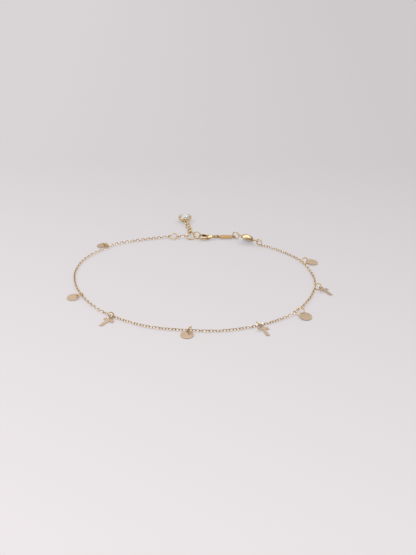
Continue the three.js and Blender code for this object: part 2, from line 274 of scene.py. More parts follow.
# %% The golds
def gold_finish(name, dark, light, roughness, mark_size, mark_depth, stretch=(1, 1, 1)):
    """A gold alloy: its tint wanders over millimetres, and its fine marks roughen it unevenly."""
    material, nodes, links, shader = new_finish(name)
    shader.inputs["Metallic"].default_value = 1
    wander = grain(nodes, links, 1.5 * MM)
    links.new(tint(nodes, links, wander, dark, light), shader.inputs["Base Color"])
    fine = grain(nodes, links, mark_size, stretch)
    low, high = roughness
    links.new(between(nodes, links, fine, low, high), shader.inputs["Roughness"])
    marks(nodes, links, fine, mark_depth, shader)
    return material


GOLD_DARK = (0.42, 0.28, 0.13)
GOLD_LIGHT = (0.90, 0.73, 0.44)
polished_gold = gold_finish(
    "polished gold", GOLD_DARK, GOLD_LIGHT, (0.08, 0.18), 0.25 * MM, 0.004 * MM
)
# The clasp's gold gets painted shade in its jaw, mixed in further down.
clasp_gold = gold_finish(
    "cast clasp gold", GOLD_DARK, GOLD_LIGHT, (0.08, 0.18), 0.25 * MM, 0.004 * MM
)
ring_gold = gold_finish(
    "jump ring gold", (0.36, 0.23, 0.10), (0.90, 0.69, 0.33), (0.10, 0.20), 0.2 * MM, 0.004 * MM
)
# The chain's gold gets painted shade at each link's ends, mixed in further down.
chain_gold = gold_finish(
    "chain wire gold", (0.74, 0.57, 0.38), (0.96, 0.82, 0.62), (0.14, 0.28), 0.2 * MM, 0.004 * MM
)


def satin_finish(name, tone):
    """Satin gold sheet. A tone under 1 is for a charm whose satin has dulled."""
    dark = tuple(tone * part for part in (0.53, 0.41, 0.29))
    light = tuple(tone * part for part in (0.62, 0.485, 0.35))
    return gold_finish(name, dark, light, (0.40, 0.52), 0.12 * MM, 0.004 * MM, (1, 6, 1))


satin_gold = satin_finish("satin charm gold", 1.0)
DULLED = {
    "disc_3": satin_finish("handled satin gold", 0.90),
    "disc_4": satin_finish("dulled satin gold", 0.80),
}
tag_gold = gold_finish(
    "brushed tag gold", (0.555, 0.355, 0.153), (0.65, 0.43, 0.19), (0.34, 0.46), 0.15 * MM,
    0.004 * MM, (1, 10, 1)
)

# %% [markdown]
# ## Painted shade
# The gold is painted dark brown where shade falls: inside the clasp's jaw, and where one chain
# link crosses the next. The same painted shade is mixed in at both, each by its own mask.

# %% Painted shade in the clasp's jaw and at the link ends
JAW_MIDDLE = Vector((1.3, 26.51, 1.04)) * MM
JAW_LENGTHENED = (2.4, 1, 1)
# How far from the jaw's middle the painted shade is full, and where it is gone.
JAW_PAINTED_SHADE_FULL_TO = 0.70 * MM
JAW_PAINTED_SHADE_GONE_FROM = 1.00 * MM
# The colour of the painted shade.
PAINTED_SHADE = (0.20, 0.10, 0.04)


def mix_in_painted_shade(material, share_of):
    """Mixes a gold's own tint with painted shade. share_of adds the nodes that say where, from 0 to
    1.
    """
    nodes, links = material.node_tree.nodes, material.node_tree.links
    shader = nodes["Principled BSDF"]
    own_tint = shader.inputs["Base Color"].links[0].from_socket
    mix = nodes.new("ShaderNodeMix")
    mix.data_type = "RGBA"
    links.new(share_of(nodes, links), mix.inputs["Factor"])
    links.new(own_tint, mix.inputs[6])
    mix.inputs[7].default_value = (*PAINTED_SHADE, 1)
    links.new(mix.outputs[2], shader.inputs["Base Color"])


def painted_shade_in_jaw(nodes, links):
    """Painted shade, full in the clasp's jaw, where shade falls between claw and lever, and gone a
    little outside it.
    """
    where = nodes.new("ShaderNodeTexCoord")
    jaw = nodes.new("ShaderNodeMapping")
    jaw.vector_type = "TEXTURE"
    jaw.inputs["Location"].default_value = JAW_MIDDLE
    jaw.inputs["Scale"].default_value = JAW_LENGTHENED
    apart = nodes.new("ShaderNodeVectorMath")
    apart.operation = "LENGTH"
    fade = nodes.new("ShaderNodeMapRange")
    fade.inputs["From Min"].default_value = JAW_PAINTED_SHADE_FULL_TO
    fade.inputs["From Max"].default_value = JAW_PAINTED_SHADE_GONE_FROM
    fade.inputs["To Min"].default_value = 1
    fade.inputs["To Max"].default_value = 0
    links.new(where.outputs["Object"], jaw.inputs["Vector"])
    links.new(jaw.outputs["Vector"], apart.inputs[0])
    links.new(apart.outputs["Value"], fade.inputs["Value"])
    return fade.outputs["Result"]


def painted_shade_at_link_ends(nodes, links):
    """Painted shade from a link's own attribute, full at its two ends, where its neighbours cross
    and shade it.
    """
    painted_link_shade = nodes.new("ShaderNodeAttribute")
    painted_link_shade.attribute_name = "painted_link_shade"
    return painted_link_shade.outputs["Fac"]


# Painted shade in the clasp's jaw and at the ends of each chain link.
mix_in_painted_shade(clasp_gold, painted_shade_in_jaw)
mix_in_painted_shade(chain_gold, painted_shade_at_link_ends)
golds = (polished_gold, clasp_gold, ring_gold, chain_gold, satin_gold, tag_gold, *DULLED.values())
print("golds:", [m.name for m in golds])

# %% The clear stone
def clear_stone():
    """A white stone: clear, strongly bending, with flat facets that each catch one light."""
    material, nodes, links, shader = new_finish("clear stone")
    cloud = grain(nodes, links, 0.8 * MM)
    links.new(
        tint(nodes, links, cloud, (0.90, 0.92, 0.95), (1, 1, 1)), shader.inputs["Base Color"]
    )
    links.new(between(nodes, links, cloud, 0.0, 0.03), shader.inputs["Roughness"])
    shader.inputs["Transmission Weight"].default_value = 0.45
    shader.inputs["IOR"].default_value = 2.1
    shader.inputs["Specular IOR Level"].default_value = 0.8
    return material


stone_finish = clear_stone()

# %% [markdown]
# ## Reading the frame
# Every ring stands or lies at its own tilt. Its CAD node already does, so the node's own points
# give the ring's middle, its axis and its wire, with no second table of places.

# %% Where a ring lies
def points_of(node):
    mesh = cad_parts[node].data
    points = np.array([v.co for v in mesh.vertices])
    return np.unique(points.round(7), axis=0)


def ring_lie(node):
    """Middle, axis, radius and wire radius of a ring in the frame."""
    points = points_of(node)
    middle = points.mean(axis=0)
    axis = np.linalg.svd(points - middle)[2][2]
    off_axis = points - middle
    off_axis = off_axis - np.outer(off_axis @ axis, axis)
    reach = np.linalg.norm(off_axis, axis=1)
    radius, wire = (reach.max() + reach.min()) / 2, (reach.max() - reach.min()) / 2
    return Vector(middle), Vector(axis), radius, wire


RINGS = [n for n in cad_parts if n.endswith("_ring")]
CHARMS = [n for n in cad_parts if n.startswith(("disc_", "cross_")) and n not in RINGS]
print(len(RINGS), "rings and", len(CHARMS), "charms")

# %% [markdown]
# ## Jump rings
# A jump ring is round wire wound on a rod and sawn through, so it is a full turn but for a hair
# of a gap. A torus would have no seam. Spinning a wire's section round the ring's middle makes
# the wire and its two sawn ends in one go.

# %% Bending the jump rings
WIRE_SIDES = 12
RING_STEPS = 48
SEAM = 0.03 * MM


def bend_ring(name, radius, wire):
    start_fresh()
    bpy.ops.mesh.primitive_circle_add(
        vertices=WIRE_SIDES,
        radius=wire,
        fill_type="NGON",
        location=(radius, 0, 0),
        rotation=(math.pi / 2, 0, 0),
    )
    ring = bpy.context.object
    bpy.ops.object.transform_apply()
    pick(ring, "FACE", lambda at: True)
    turn = 2 * math.pi - SEAM / radius
    bpy.ops.mesh.spin(steps=RING_STEPS, angle=turn, center=(0, 0, 0), axis=(0, 0, 1))
    settle(ring, name)
    smooth(ring, 50)
    return ring


def place_ring(node):
    middle, axis, radius, wire = ring_lie(node)
    ring = bend_ring(node + "_wire", radius, wire)
    axis = -axis if axis.z < 0 else axis
    seam_way = Vector((0, 0, 1)) - axis * axis.z
    if seam_way.length < 0.1:
        seam_way = Vector((0, 1, 0))
    seam_way = (seam_way - axis * axis.dot(seam_way)).normalized()
    ring.data.transform(basis(seam_way, axis.cross(seam_way), axis, middle))
    finish = ring_gold if node.startswith(("disc", "cross")) else polished_gold
    return dress(ring, "root", "polished_gold", finish, node)


for node in RINGS:
    place_ring(node)
print("bent", len(RINGS), "rings")

# %% [markdown]
# ## The cable chain
# Each link is an oval of round wire, a quarter turn from the next, and the chain lies on its
# corners, so the links stand at plus and minus 45 degrees. One link is modelled: a small torus
# whose halves are pulled apart into an oval. It has few faces, because it is copied about two
# hundred times. Each jump ring has a link of its own to pass through, so the chain is measured
# out ring by ring, with an even number of links between two rings.

# %% The oval link
LINK_PITCH = 1.03 * MM
LINK_WIRE = 0.135 * MM
LINK_WIDTH = 0.98 * MM
LINK_SLACK = 0.02 * MM
# The painted shade at a link's ends: its full share, where along the half-length it starts, and
# over how much it fades in.
LINK_END_PAINTED_SHADE_SHARE = 0.55
LINK_END_PAINTED_SHADE_FROM = 0.5
LINK_END_PAINTED_SHADE_FADE = 0.3


def oval_link(name, length, width, wire, turns, sides):
    """A closed oval of round wire, lying flat along X."""
    start_fresh()
    across = width / 2 - wire
    bpy.ops.mesh.primitive_torus_add(
        major_radius=across, minor_radius=wire, major_segments=turns, minor_segments=sides
    )
    link = bpy.context.object
    pull = length / 2 - wire - across
    middle = across / 100
    for way in (1, -1):
        pick(link, "VERT", lambda at: at.x * way > middle)
        bpy.ops.transform.translate(value=(way * pull, 0, 0))
    settle(link, name)
    smooth(link, 60)
    # Painted shade at the link's ends, where the neighbouring links cross it.
    painted_link_shade = link.data.attributes.new("painted_link_shade", "FLOAT", "POINT")
    for vertex, value in zip(link.data.vertices, painted_link_shade.data):
        share = abs(vertex.co.x) / (length / 2)
        value.value = min(max((share - LINK_END_PAINTED_SHADE_FROM) / LINK_END_PAINTED_SHADE_FADE, 0), 1) * LINK_END_PAINTED_SHADE_SHARE
    return link


link_length = LINK_PITCH + 4 * LINK_WIRE - LINK_SLACK
small_link = oval_link("small_link", link_length, LINK_WIDTH, LINK_WIRE, 12, 5)
print("a link has", len(small_link.data.polygons), "faces")

# %% The route of the chain
# In millimetres, from the end ring round the front of the loop to the bezel ring.
ROUTE = [
    (-11.0, 27.6, 0.8), (-13.2, 27.5, 0.6), (-20.1, 25.8, 0.5), (-27.1, 23.5, 0.5),
    (-31.3, 21.4, 0.5), (-33.8, 18.9, 0.5), (-37.5, 14.8, 0.5), (-40.2, 11.1, 0.5),
    (-41.9, 7.2, 0.5), (-42.9, 3.1, 0.5), (-43.4, -1.0, 0.5), (-43.2, -5.2, 0.5),
    (-42.6, -9.1, 0.5), (-41.6, -12.9, 0.5), (-39.9, -17.2, 0.5), (-37.7, -21.4, 0.5),
    (-35.6, -24.7, 0.5), (-32.2, -28.9, 0.5), (-27.9, -32.8, 0.5), (-23.5, -35.7, 0.5),
    (-18.9, -38.3, 0.5), (-13.7, -40.15, 0.5), (-8.1, -41.2, 0.5), (-4.0, -41.7, 0.5),
    (2.9, -42.2, 0.5), (8.5, -41.8, 0.5), (14.0, -40.4, 0.5), (19.9, -38.1, 0.5),
    (24.3, -35.6, 0.5), (28.7, -32.4, 0.6), (32.0, -29.1, 1.0), (34.3, -24.7, 0.6),
    (36.6, -19.7, 0.5), (38.5, -13.4, 0.5), (39.0, -8.2, 0.5), (38.6, -3.0, 0.5),
    (36.6, 4.9, 0.5), (33.6, 10.5, 0.5), (28.9, 15.6, 0.5), (24.0, 19.6, 0.5),
    (21.75, 20.65, 0.5),
]


def smooth_line(points, steps=40):
    """A Catmull-Rom curve through points in mm, as close points in metres with their distances."""
    knots = np.array(points) * MM
    knots = np.vstack([2 * knots[0] - knots[1], knots, 2 * knots[-1] - knots[-2]])
    t = np.linspace(0, 1, steps, endpoint=False)[:, None]
    pieces = []
    for a, b, c, d in zip(knots, knots[1:], knots[2:], knots[3:]):
        leave, arrive = (c - a) / 2, (d - b) / 2
        cubic = 2 * b - 2 * c + leave + arrive
        square = -3 * b + 3 * c - 2 * leave - arrive
        pieces.append(((cubic * t + square) * t + leave) * t + b)
    line = np.vstack([*pieces, knots[-2:-1]])
    gone = np.concatenate([[0], np.cumsum(np.linalg.norm(np.diff(line, axis=0), axis=1))])
    return line, gone


def at_distance(line, gone, distance):
    """Point and direction at a distance along a line, running straight on past its ends."""
    inside = min(max(distance, gone[0]), gone[-1])
    point = Vector([np.interp(inside, gone, line[:, axis]) for axis in range(3)])
    step = 0.2 * MM
    ends = [min(max(inside + s, gone[0]), gone[-1]) for s in (-step, step)]
    before, after = (
        Vector([np.interp(e, gone, line[:, axis]) for axis in range(3)]) for e in ends
    )
    way = (after - before).normalized()
    return point + way * (distance - inside), way


chain_line, chain_gone = smooth_line(ROUTE)
print("the chain is", round(chain_gone[-1] / MM, 1), "mm long")

# %% Laying the links
def meets_ring(line, gone, node):
    """How far along the line a ring's wire passes through it, and the wire's direction there."""
    middle, axis, radius, wire = ring_lie(node)
    off = line - np.array(middle)
    high = off @ np.array(axis)
    flat = off - np.outer(high, np.array(axis))
    apart = np.hypot(np.linalg.norm(flat, axis=1) - radius, high)
    nearest = int(apart.argmin())
    wire_way = axis.cross(Vector(flat[nearest])).normalized()
    return gone[nearest], wire_way


def lay_link(model, name, point, way, opening, stretch=1.0):
    """A copy of a link at a point, along the chain, its hole facing the opening direction."""
    opening = (opening - way * opening.dot(way)).normalized()
    across = opening.cross(way)
    place = basis(way, across, opening, point) @ Matrix.Diagonal((stretch, 1, 1, 1))
    return copy_of(model, name, place)


def lay_chain(model, line, gone, stops, pitch, jitter, name, body_node):
    """Links from stop to stop, turned a quarter each time. Each stop is a distance and a facing."""
    chance = random.Random(7)
    links = []
    for (start, facing), (end, next_facing) in zip(stops, stops[1:]):
        count = max(2, 2 * round((end - start) / pitch / 2))
        spacing = (end - start) / count
        for i in range(count + (end == stops[-1][0])):
            point, way = at_distance(line, gone, start + i * spacing)
            share = i / count
            open_way = facing.lerp(next_facing, share)
            open_way = (open_way - way * open_way.dot(way)).normalized()
            turn = math.pi / 2 * (i % 2) + math.radians(chance.uniform(-jitter, jitter))
            open_way = Matrix.Rotation(turn, 3, way) @ open_way
            stretch = (spacing + 4 * LINK_WIRE - LINK_SLACK) / link_length
            links.append(lay_link(model, f"link_{len(links)}", point, way, open_way, stretch))
    print(name, "has", len(links), "links")
    joined = one_piece(links, name)
    return dress(joined, "root", "chain_gold", chain_gold, body_node)


def facing_out(line, gone, node):
    """A stop on the chain at a ring, its opening outwards and down like the ring's wire."""
    distance, wire_way = meets_ring(line, gone, node)
    return distance, (-wire_way if wire_way.z > 0 else wire_way)


charm_rings = [c + "_ring" for c in CHARMS]
stops = [facing_out(chain_line, chain_gone, n) for n in charm_rings]
stops = sorted(stops, key=lambda stop: stop[0])
for stop in stops:
    print("a charm ring at", round(stop[0] / MM, 2), "mm, opening", [round(v, 2) for v in stop[1]])


def opening_at(distance, line, gone):
    """The usual facing of a link at a distance: outwards and down at 45 degrees."""
    point, way = at_distance(line, gone, distance)
    right = way.cross(Vector((0, 0, 1))).normalized()
    return distance, (right - Vector((0, 0, 1))).normalized()


first = opening_at(meets_ring(chain_line, chain_gone, "end_ring")[0], chain_line, chain_gone)
last = opening_at(meets_ring(chain_line, chain_gone, "bezel_ring")[0], chain_line, chain_gone)
lay_chain(
    small_link, chain_line, chain_gone, [first, *stops, last], LINK_PITCH, 7, "cable_chain", "chain"
)

# %% The spacer between the end ring and the catch ring
SPACER_ROUTE = [(-8.8, 27.6, 0.8), (-8.1, 27.6, 0.8), (-5.6, 27.5, 1.0), (-4.65, 27.5, 1.08)]
spacer_line, spacer_gone = smooth_line(SPACER_ROUTE)
spacer_stops = []
for node in ("end_ring", "catch_ring"):
    distance = meets_ring(spacer_line, spacer_gone, node)[0]
    spacer_stops.append(opening_at(distance, spacer_line, spacer_gone))
lay_chain(
    small_link,
    spacer_line,
    spacer_gone,
    spacer_stops,
    LINK_PITCH,
    0,
    "spacer_links",
    "spacer_chain",
)
put_away(small_link)

# %% [markdown]
# ## The extender
# The short extender runs back from the catch ring to the drop. Its links are larger, of heavier
# wire, and lie in turn flat and on edge, so every second one shows as an open ring.

# %% The extender's links
EXTENDER_ROUTE = [
    (-3.9, 28.35, 1.8), (-3.95, 28.9, 1.77), (-4.0, 30.6, 1.2), (-4.15, 32.4, 0.7),
    (-4.4, 34.6, 0.6), (-4.85, 36.9, 0.65), (-5.5, 39.4, 1.1), (-5.64, 39.95, 1.1),
]
EXTENDER_WIRE = 0.22 * MM
EXTENDER_WIDTH = 2.15 * MM
EXTENDER_LENGTH = 2.7 * MM
FIRST_EXTENDER_LINK = 1.15 * MM
LAST_EXTENDER_LINK = 0.9 * MM

extender_line, extender_gone = smooth_line(EXTENDER_ROUTE)
big_link = oval_link("big_link", EXTENDER_LENGTH, EXTENDER_WIDTH, EXTENDER_WIRE, 24, 10)
# How far each link is rolled from lying flat, so that none stands taller than the chain lies.
EXTENDER_ROLLS = [90, 20, -35, 28, -32, 15]
extender = []
span = extender_gone[-1] - FIRST_EXTENDER_LINK - LAST_EXTENDER_LINK
gaps = len(EXTENDER_ROLLS) - 1
for i, roll in enumerate(EXTENDER_ROLLS):
    distance = FIRST_EXTENDER_LINK + span * i / gaps
    point, way = at_distance(extender_line, extender_gone, distance)
    side = way.cross(Vector((0, 0, 1))).normalized()
    opening = Matrix.Rotation(math.radians(roll), 3, way) @ side.cross(way)
    extender.append(lay_link(big_link, f"extender_{i}", point, way, opening))
extender_piece = one_piece(extender, "extender_links")
dress(extender_piece, "root", "polished_gold", polished_gold, "extender_chain")
put_away(big_link)
print("extender pitch", round(span / gaps / MM, 3), "mm")

# %% [markdown]
# ## The charms
# Discs and crosses are stamped from 0.25 mm sheet and tumbled. A disc is a short cylinder,
# drilled and bevelled. A cross grows from one small square by extruding its edges, then gets
# its thickness, its round eye and its hole.

# %% Stamping a disc
SHEET = 0.25 * MM
DISC_RADIUS = 2.1 * MM
HOLE_RADIUS = 0.5 * MM
HOLE_OFFSET = 1.35 * MM
TUMBLED = 0.06 * MM


def stamp_disc():
    disc = rod(DISC_RADIUS, SHEET, (HOLE_OFFSET, 0, 0), sides=64)
    drill(disc, HOLE_RADIUS, 4 * SHEET, (0, 0, 0))
    settle(disc, "stamped_disc")
    smooth(disc, 30)
    tumble(disc, TUMBLED)
    return disc


stamped_disc = stamp_disc()
print("disc:", len(stamped_disc.data.polygons), "faces")

# %% Stamping a cross
CROSS_WIDTH = 3.7 * MM
CROSS_BAR = 1.1 * MM
CROSS_EYE = 0.75 * MM
ARM_BELOW_EYE = 1.25 * MM
FOOT_BELOW_EYE = 5.3 * MM


def stamp_cross():
    start_fresh()
    bpy.ops.mesh.primitive_plane_add(size=CROSS_BAR, location=(ARM_BELOW_EYE, 0, 0))
    cross = bpy.context.object
    bpy.ops.object.transform_apply()
    half = CROSS_BAR / 2
    foot = FOOT_BELOW_EYE - ARM_BELOW_EYE - half
    arm = CROSS_WIDTH / 2 - half
    near = CROSS_BAR / 10
    outward = {
        (foot, 0, 0): lambda at: at.x > ARM_BELOW_EYE + half - near,
        (half - ARM_BELOW_EYE, 0, 0): lambda at: at.x < ARM_BELOW_EYE - half + near,
        (0, arm, 0): lambda at: at.y > half - near and abs(at.x - ARM_BELOW_EYE) < near,
        (0, -arm, 0): lambda at: at.y < near - half and abs(at.x - ARM_BELOW_EYE) < near,
    }
    for move, chosen in outward.items():
        pick(cross, "EDGE", chosen)
        bpy.ops.mesh.extrude_region_move(TRANSFORM_OT_translate={"value": move})
    bpy.ops.object.mode_set(mode="OBJECT")
    apply_modifier(cross, "SOLIDIFY", thickness=SHEET, offset=0)
    cut_or_join(cross, rod(CROSS_EYE, SHEET, (0, 0, 0), sides=48), "UNION")
    drill(cross, HOLE_RADIUS, 4 * SHEET, (0, 0, 0))
    settle(cross, "stamped_cross")
    smooth(cross, 30)
    tumble(cross, TUMBLED)
    return cross


stamped_cross = stamp_cross()
print("cross:", len(stamped_cross.data.polygons), "faces")

# %% Hanging the charms
def charm_lie(node, reach):
    """The matrix of a charm: its hole at the origin, its foot along X and its face along Z."""
    points = points_of(node)
    mean = points.mean(axis=0)
    foot, side, face = np.linalg.svd(points - mean)[2]
    spans = [((points @ axis).min(), (points @ axis).max()) for axis in (foot, side, face)]
    middle = sum(axis * (low + high) / 2 for axis, (low, high) in zip((foot, side, face), spans))
    if (middle - mean) @ foot < 0:
        foot = -foot
    if face[2] < 0:
        face = -face
    half = (spans[0][1] - spans[0][0]) / 2
    hole = middle + foot * (half - reach)
    side = np.cross(face, foot)
    return basis(Vector(foot), Vector(side), Vector(face), Vector(hole))


for node in CHARMS:
    is_disc = node.startswith("disc_")
    model = stamped_disc if is_disc else stamped_cross
    reach = HOLE_OFFSET + DISC_RADIUS if is_disc else FOOT_BELOW_EYE
    charm = copy_of(model, node + "_stamped", charm_lie(node, reach))
    low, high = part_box(node)
    made = np.array([v.co for v in charm.data.vertices])
    gap = max(abs(made.min(axis=0) - low).max(), abs(made.max(axis=0) - high).max())
    print(node, "differs from its CAD box by", round(gap / MM, 3), "mm")
    dress(charm, "root", "charm_gold", DULLED.get(node, satin_gold), node)
put_away(stamped_disc)
put_away(stamped_cross)

# %% [markdown]
# ## The tag
# A bare oblong plate with a drilled ear at each end. It is softened like the charms.

# %% The tag
TAG_LENGTH = 4.3 * MM
TAG_WIDTH = 2.4 * MM
TAG_EAR = 0.75 * MM
TAG_HOLE = 0.47 * MM
TAG_HOLES_APART = 5.83 * MM

tag_low, tag_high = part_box("tag")
tag_middle = (tag_low + tag_high) / 2
tag_thickness = tag_high.z - tag_low.z


def make_tag():
    start_fresh()
    bpy.ops.mesh.primitive_cube_add(size=1, location=tag_middle)
    plate = bpy.context.object
    plate.scale = (TAG_LENGTH, TAG_WIDTH, tag_thickness)
    bpy.ops.object.transform_apply()
    for way in (-1, 1):
        hole_at = tag_middle + Vector((way * TAG_HOLES_APART / 2, 0, 0))
        cut_or_join(plate, rod(TAG_EAR, tag_thickness, hole_at, sides=40), "UNION")
        drill(plate, TAG_HOLE, 4 * tag_thickness, hole_at)
    settle(plate, "tag_plate")
    smooth(plate, 30)
    tumble(plate, TUMBLED)
    return plate


dress(make_tag(), "root", "tag_gold", tag_gold, "tag")
print("tag at", [round(v / MM, 2) for v in tag_middle])

# %% [markdown]
# ## The two stones in their cups
# A bezel is a turned cup whose thin rim is pushed over the stone's edge. It starts as a small
# round plate, and each extrude and resize draws the next ring of the cup, out to the rim and
# down the inside. The stone is a brilliant: rings of points for its table, girdle and point,
# with a convex hull drawn tight over them, which gives true flat facets.

# %% A turned cup
CUP_SIDES = 48
# Radius and height in mm of each ring of the cup, from the base's edge to the seat inside.
CUP_BASE = 0.9 * MM
CUP_RINGS = [
    (1.32, 0.10), (1.70, 0.28), (2.00, 0.53), (2.22, 0.83), (2.38, 1.18), (2.48, 1.55),
    (2.50, 1.80), (2.46, 1.87), (2.40, 1.90), (1.88, 1.90), (1.82, 1.87), (1.82, 1.75),
    (2.05, 1.62), (2.05, 1.30), (0.80, 0.40),
]
EYE_HEIGHT = 1.1 * MM


def turn_cup():
    start_fresh()
    radius, height = CUP_BASE, 0.0
    bpy.ops.mesh.primitive_circle_add(vertices=CUP_SIDES, radius=radius, fill_type="NGON")
    cup = bpy.context.object
    pick(cup, "FACE", lambda at: True)
    for ring_radius, ring_height in CUP_RINGS:
        rise = ring_height * MM - height
        bpy.ops.mesh.extrude_region_move(TRANSFORM_OT_translate={"value": (0, 0, rise)})
        grow = ring_radius * MM / radius
        bpy.ops.transform.resize(value=(grow, grow, 1), center_override=(0, 0, 0))
        radius, height = ring_radius * MM, ring_height * MM
    return settle(cup, "cup")


def solder_eye(cup, side, at, radius, wire, standing):
    start_fresh()
    bpy.ops.mesh.primitive_torus_add(
        major_radius=radius,
        minor_radius=wire,
        major_segments=36,
        minor_segments=12,
        location=(side * at, 0, EYE_HEIGHT),
        rotation=(math.pi / 2 if standing else 0, 0, 0),
    )
    cut_or_join(cup, bpy.context.object, "UNION")


def solder_neck(cup, side, start, end, radius):
    length = end - start
    middle = (side * (start + end) / 2, 0, EYE_HEIGHT)
    neck = rod(radius, length, middle, (0, math.pi / 2, 0), sides=16)
    cut_or_join(cup, neck, "UNION")


# %% A brilliant stone
# How many points, their radius and height in mm, and their turn in steps of a 16th of a circle.
STONE_RINGS = [
    (8, 1.05, 2.60, 0.0), (8, 1.55, 2.20, 1.0), (16, 1.92, 1.52, 0.0), (16, 1.92, 1.42, 0.0),
    (8, 1.05, 1.02, 0.0), (4, 0.12, 0.62, 0.0),
]


def cut_stone():
    start_fresh()
    for i, (count, radius, height, turn) in enumerate(STONE_RINGS):
        if i == 1:
            bpy.ops.object.mode_set(mode="EDIT")
        bpy.ops.mesh.primitive_circle_add(
            vertices=count,
            radius=radius * MM,
            location=(0, 0, height * MM),
            rotation=(0, 0, turn * math.pi / 8),
        )
        if i == 0:
            bpy.ops.object.transform_apply()
    stone = bpy.context.object
    bpy.ops.mesh.select_all(action="SELECT")
    bpy.ops.mesh.convex_hull()
    bpy.ops.mesh.dissolve_limited(angle_limit=math.radians(1))
    return settle(stone, "cut_stone")


cut = cut_stone()
print("the stone has", len(cut.data.polygons), "facets")

# %% Setting the drop and the link
DROP_PLACE = Vector((-6.2, 43.1, 0)) * MM
DROP_HEADING = math.radians(-80.4)
LINK_PLACE = Vector((17.1, 23.95, 1.93)) * MM
LINK_HEADING = math.radians(-36)
LINK_PITCH_DOWN = math.radians(3)
LINK_ROLL = math.radians(180 - 30)
CUP_EYE_WIRE = 0.2 * MM
DROP_EYE_AT = 3.1 * MM
DROP_EYE_RADIUS = 0.6 * MM
LINK_EYE_AT = 4.0 * MM
LINK_EYE_RADIUS = 0.75 * MM
NECK_FROM = 2.2 * MM
NECK_TO = 3.25 * MM
NECK_RADIUS = 0.28 * MM

drop_matrix = Matrix.Translation(DROP_PLACE) @ Matrix.Rotation(DROP_HEADING, 4, "Z")
link_matrix = (
    Matrix.Translation(LINK_PLACE)
    @ Matrix.Rotation(LINK_HEADING, 4, "Z")
    @ Matrix.Rotation(LINK_PITCH_DOWN, 4, "Y")
    @ Matrix.Rotation(LINK_ROLL, 4, "X")
    @ Matrix.Translation((0, 0, -EYE_HEIGHT))
)

drop_cup = turn_cup()
solder_eye(drop_cup, 1, DROP_EYE_AT, DROP_EYE_RADIUS, CUP_EYE_WIRE, True)
link_cup = turn_cup()
for side in (-1, 1):
    solder_eye(link_cup, side, LINK_EYE_AT, LINK_EYE_RADIUS, CUP_EYE_WIRE, False)
    solder_neck(link_cup, side, NECK_FROM, NECK_TO, NECK_RADIUS)

settings = (("drop", drop_cup, drop_matrix), ("link", link_cup, link_matrix))
for name, cup, matrix in settings:
    settle(cup, name + "_cup")
    cup.data.transform(matrix)
    smooth(cup, 50)
    dress(cup, "root", "polished_gold", polished_gold, name + "_bezel")
    set_stone = copy_of(cut, name + "_set_stone", matrix)
    dress(set_stone, "root", "stone", stone_finish, name + "_stone")
    low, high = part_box(name + "_bezel")
    print(name, "CAD bezel", [round(v / MM, 2) for v in (*low, *high)])
    print(name, "cup made ", [round(v / MM, 2) for v in (*cup.bound_box[0], *cup.bound_box[6])])
put_away(cut)

# %% [markdown]
# ## The lobster clasp
# The cast body is a claw that swells into a block, where the lever turns on its pin. It is
# drawn out section by section: a round section is extruded along the claw, turned to face
# along it, and sized at each step. Subdivision then rounds it like a casting.

# %% Drawing out a section
def reshape(at, facing, width, thickness, before):
    """Turns the selected section from one heading to the next and gives it its new size."""
    old_facing, old_width, old_thickness = before
    z_turn = {"orient_axis": "Z", "center_override": at}
    bpy.ops.transform.rotate(value=math.radians(old_facing), **z_turn)
    grow = (1, width / old_width, thickness / old_thickness)
    bpy.ops.transform.resize(value=grow, center_override=at)
    bpy.ops.transform.rotate(value=-math.radians(facing), **z_turn)


def draw_out(name, sections, sides, levels):
    """Sections are x, y, facing in degrees, width and thickness, in mm, from end to end."""
    start_fresh()
    x, y, facing, width, thickness = sections[0]
    at = Vector((x, y, 0)) * MM
    bpy.ops.mesh.primitive_circle_add(
        vertices=sides, radius=0.5 * MM, fill_type="NGON", location=at, rotation=(0, math.pi / 2, 0)
    )
    piece = bpy.context.object
    bpy.ops.object.transform_apply()
    pick(piece, "FACE", lambda middle: True)
    reshape(at, facing, width, thickness, (0, 1, 1))
    for row in sections[1:]:
        before = (facing, width, thickness)
        x, y, facing, width, thickness = row
        step = Vector((x, y, 0)) * MM - at
        at = at + step
        bpy.ops.mesh.extrude_region_move(TRANSFORM_OT_translate={"value": step})
        reshape(at, facing, width, thickness, before)
    settle(piece, name)
    apply_modifier(piece, "SUBSURF", levels=levels, render_levels=levels)
    return piece


# %% The clasp's body
CLASP_PLACE = Vector((1.74, 26.7, 1.1)) * MM
CLASP_ROLL = math.radians(16)
PIVOT = Vector((1.65, 0.1, 0)) * MM
TAIL = Vector((2.95, 0, 0)) * MM
TAIL_EYE_RADIUS = 0.56 * MM
TAIL_EYE_WIRE = 0.17 * MM
DRILL_LENGTH = 3 * MM
SLOT_WIDTH = 0.64 * MM
SLOT_FROM = 0.45 * MM
SLOT_TO = 2.3 * MM
SLOT_FLOOR = -0.75 * MM
SLOT_TOP = 3 * MM
clasp_matrix = Matrix.Translation(CLASP_PLACE) @ Matrix.Rotation(CLASP_ROLL, 4, "X")

# From the tip of the claw round its nose to the block and the tail.
CLAW = [
    (-1.85, 0.80, 175, 0.42, 0.90), (-2.22, 0.68, 205, 0.55, 1.12),
    (-2.51, 0.28, 255, 0.50, 1.22), (-2.50, -0.22, 283, 0.54, 1.26),
    (-2.22, -0.68, 315, 0.72, 1.30), (-1.68, -1.04, 335, 0.90, 1.32),
    (-0.95, -1.18, 350, 1.14, 1.38), (-0.10, -1.14, 2, 1.32, 1.40),
    (0.55, -1.04, 14, 1.30, 1.38), (1.00, -0.62, 8, 1.95, 1.34),
    (1.40, -0.22, 4, 2.40, 1.32), (2.00, -0.06, 0, 2.05, 1.22),
    (2.42, 0.0, 0, 1.45, 0.85), (2.72, 0.0, 0, 1.15, 0.52),
]


